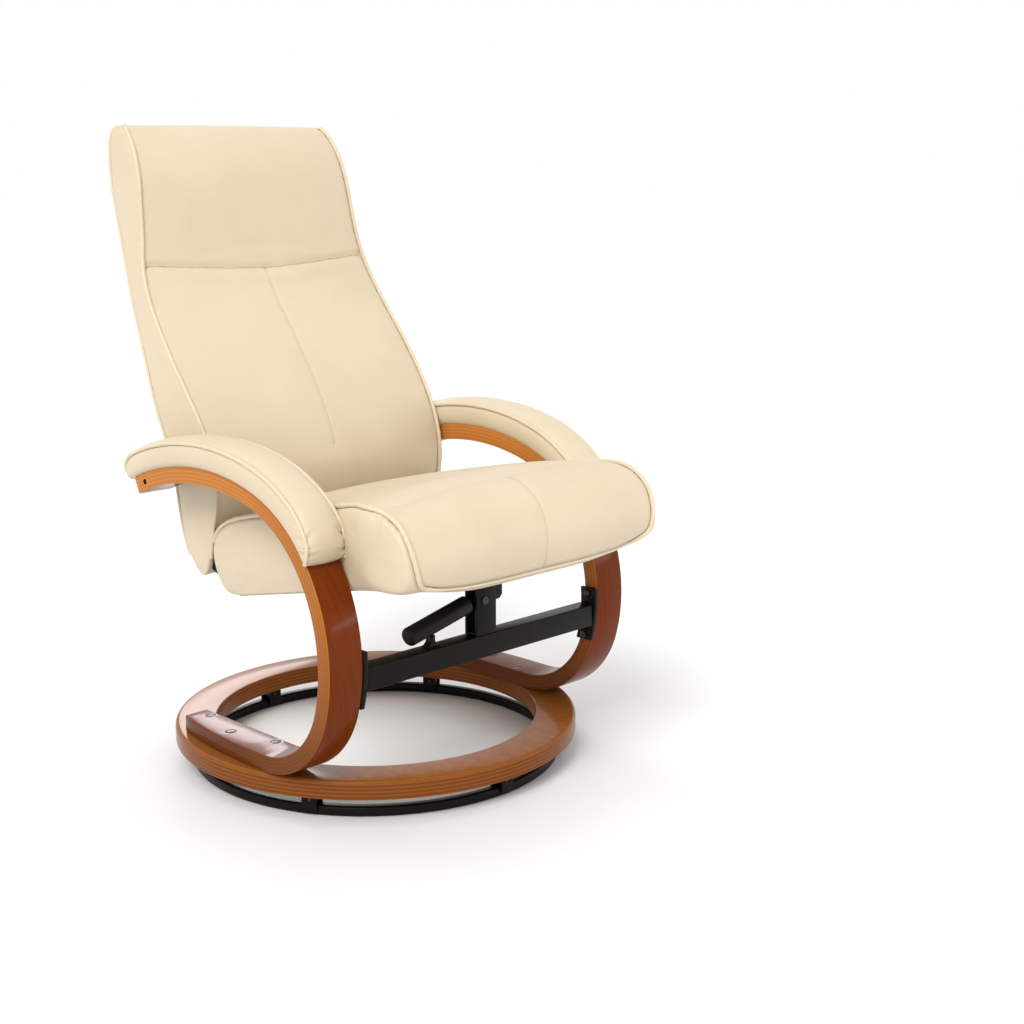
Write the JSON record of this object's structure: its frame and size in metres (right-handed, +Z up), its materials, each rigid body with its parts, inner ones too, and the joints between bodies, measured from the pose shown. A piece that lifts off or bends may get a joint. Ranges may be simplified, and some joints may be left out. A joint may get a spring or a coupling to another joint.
{
  "type": "reclining swivel armchair",
  "caption": "Reclining armchair with a high padded leather back and seat, bent laminated wood arms with leather pads, and a round wooden swivel base over a steel floor ring.",
  "frame": {"origin": "on the floor, at the centre of the round base and on the swivel axis", "axes": "+Z up; the sitter faces -Y; +X is the sitter's left; the swivel turns about Z"},
  "size_m": [0.66, 0.7972, 1.0139],
  "materials": {
    "floor_ring": "black satin paint",
    "wood_ring": "clear lacquered bent beech laminate, cherry tint",
    "roller_housing_1": "black satin paint",
    "roller_housing_2": "black satin paint",
    "roller_housing_3": "black satin paint",
    "roller_housing_4": "black satin paint",
    "roller_housing_5": "black satin paint",
    "roller_housing_6": "black satin paint",
    "roller_1": "black",
    "roller_2": "black",
    "roller_3": "black",
    "roller_4": "black",
    "roller_5": "black",
    "roller_6": "black",
    "arm_frame_right": "clear lacquered bent beech laminate, cherry tint",
    "foot_plug_right": "clear lacquered bent beech laminate, cherry tint",
    "arm_pad_right": "smooth ivory leather",
    "foot_screw_right_1": "black satin paint",
    "foot_screw_right_2": "black satin paint",
    "bar_flange_right": "black satin paint",
    "flange_bolt_right_lower": "black satin paint",
    "flange_bolt_right_upper": "black satin paint",
    "pivot_bolt_right": "black satin paint",
    "back_side_plate_right": "black satin paint",
    "seat_side_rail_right": "black satin paint",
    "seat_bracket_right": "black satin paint",
    "hinge_pin_right": "bright zinc plated",
    "arm_frame_left": "clear lacquered bent beech laminate, cherry tint",
    "foot_plug_left": "clear lacquered bent beech laminate, cherry tint",
    "arm_pad_left": "smooth ivory leather",
    "foot_screw_left_1": "black satin paint",
    "foot_screw_left_2": "black satin paint",
    "bar_flange_left": "black satin paint",
    "flange_bolt_left_lower": "black satin paint",
    "flange_bolt_left_upper": "black satin paint",
    "pivot_bolt_left": "black satin paint",
    "back_side_plate_left": "black satin paint",
    "seat_side_rail_left": "black satin paint",
    "seat_bracket_left": "black satin paint",
    "hinge_pin_left": "bright zinc plated",
    "cross_bar": "black satin paint",
    "slide_bracket": "black satin paint",
    "guide_channel": "black satin paint",
    "lever_rest": "black satin paint",
    "slide_plate": "black satin paint",
    "release_lever": "black satin paint",
    "slide_rail": "bright zinc plated",
    "lever_pin": "bright zinc plated",
    "lever_spring": "bright zinc plated",
    "lever_grip": "black",
    "brake_pad": "friction lining",
    "seat_cushion": "smooth ivory leather",
    "back_cushion": "smooth ivory leather",
    "back_cover": "smooth ivory leather",
    "seat_board": "raw plywood",
    "back_board": "raw plywood"
  },
  "bodies": {
    "floor_base": {"floor_ring": "floor_ring"},
    "swivel_base": {"wood_ring": "wood_ring", "roller_housing_1": "roller_housing_1", "roller_housing_2": "roller_housing_2", "roller_housing_3": "roller_housing_3", "roller_housing_4": "roller_housing_4", "roller_housing_5": "roller_housing_5", "roller_housing_6": "roller_housing_6", "arm_frame_right": "arm_frame_right", "foot_plug_right": "foot_plug_right", "arm_pad_right": "arm_pad_right", "foot_screw_right_1": "foot_screw_right_1", "foot_screw_right_2": "foot_screw_right_2", "bar_flange_right": "bar_flange_right", "flange_bolt_right_lower": "flange_bolt_right_lower", "flange_bolt_right_upper": "flange_bolt_right_upper", "pivot_bolt_right": "pivot_bolt_right", "arm_frame_left": "arm_frame_left", "foot_plug_left": "foot_plug_left", "arm_pad_left": "arm_pad_left", "foot_screw_left_1": "foot_screw_left_1", "foot_screw_left_2": "foot_screw_left_2", "bar_flange_left": "bar_flange_left", "flange_bolt_left_lower": "flange_bolt_left_lower", "flange_bolt_left_upper": "flange_bolt_left_upper", "pivot_bolt_left": "pivot_bolt_left", "cross_bar": "cross_bar", "slide_bracket": "slide_bracket", "guide_channel": "guide_channel", "lever_rest": "lever_rest", "lever_pin": "lever_pin", "lever_spring": "lever_spring"},
    "roller_1": {"roller_1": "roller_1"},
    "roller_2": {"roller_2": "roller_2"},
    "roller_3": {"roller_3": "roller_3"},
    "roller_4": {"roller_4": "roller_4"},
    "roller_5": {"roller_5": "roller_5"},
    "roller_6": {"roller_6": "roller_6"},
    "seat": {"seat_cushion": "seat_cushion", "seat_board": "seat_board", "slide_plate": "slide_plate", "slide_rail": "slide_rail", "seat_side_rail_right": "seat_side_rail_right", "seat_side_rail_left": "seat_side_rail_left", "seat_bracket_right": "seat_bracket_right", "seat_bracket_left": "seat_bracket_left"},
    "back": {"back_cushion": "back_cushion", "back_board": "back_board", "back_cover": "back_cover", "back_side_plate_right": "back_side_plate_right", "back_side_plate_left": "back_side_plate_left", "hinge_pin_right": "hinge_pin_right", "hinge_pin_left": "hinge_pin_left"},
    "lever": {"release_lever": "release_lever", "lever_grip": "lever_grip", "brake_pad": "brake_pad"}
  },
  "joints": [
    {"name": "swivel", "type": "hinge", "parent": "floor_base", "child": "swivel_base", "pos_m": [0, 0, 0], "axis": [0, 0, 1], "continuous": true},
    {"name": "roller_1_spin", "type": "hinge", "parent": "swivel_base", "child": "roller_1", "pos_m": [0.25504, 0.14725, 0.02485], "axis": [0.866, 0.5, 0], "continuous": true},
    {"name": "roller_2_spin", "type": "hinge", "parent": "swivel_base", "child": "roller_2", "pos_m": [0, 0.2945, 0.02485], "axis": [0, 1, 0], "continuous": true},
    {"name": "roller_3_spin", "type": "hinge", "parent": "swivel_base", "child": "roller_3", "pos_m": [-0.25504, 0.14725, 0.02485], "axis": [-0.866, 0.5, 0], "continuous": true},
    {"name": "roller_4_spin", "type": "hinge", "parent": "swivel_base", "child": "roller_4", "pos_m": [-0.25504, -0.14725, 0.02485], "axis": [-0.866, -0.5, 0], "continuous": true},
    {"name": "roller_5_spin", "type": "hinge", "parent": "swivel_base", "child": "roller_5", "pos_m": [0, -0.2945, 0.02485], "axis": [0, -1, 0], "continuous": true},
    {"name": "roller_6_spin", "type": "hinge", "parent": "swivel_base", "child": "roller_6", "pos_m": [0.25504, -0.14725, 0.02485], "axis": [0.866, -0.5, 0], "continuous": true},
    {"name": "recline", "type": "hinge", "parent": "swivel_base", "child": "back", "pos_m": [0, 0.18317, 0.46939], "axis": [-1, 0, 0], "range_deg": [0, 20]},
    {"name": "seat_slide", "type": "slide", "parent": "swivel_base", "child": "seat", "axis": [0, -0.9474, 0.3202], "range_m": [0, 0.0415]},
    {"name": "lever_lift", "type": "hinge", "parent": "swivel_base", "child": "lever", "pos_m": [-0.004, -0.249, 0.3045], "axis": [0, 1, 0], "range_deg": [0, 12], "stiffness_Nm_per_rad": 0.8, "springref_deg": -17.19}
  ],
  "couplings": [
    {"joint": "roller_1_spin", "follows": "swivel", "ratio": -34.444},
    {"joint": "roller_2_spin", "follows": "swivel", "ratio": -34.444},
    {"joint": "roller_3_spin", "follows": "swivel", "ratio": -34.444},
    {"joint": "roller_4_spin", "follows": "swivel", "ratio": -34.444},
    {"joint": "roller_5_spin", "follows": "swivel", "ratio": -34.444},
    {"joint": "roller_6_spin", "follows": "swivel", "ratio": -34.444},
    {"joint": "seat_slide", "follows": "recline", "m_per_rad": 0.11877}
  ]
}
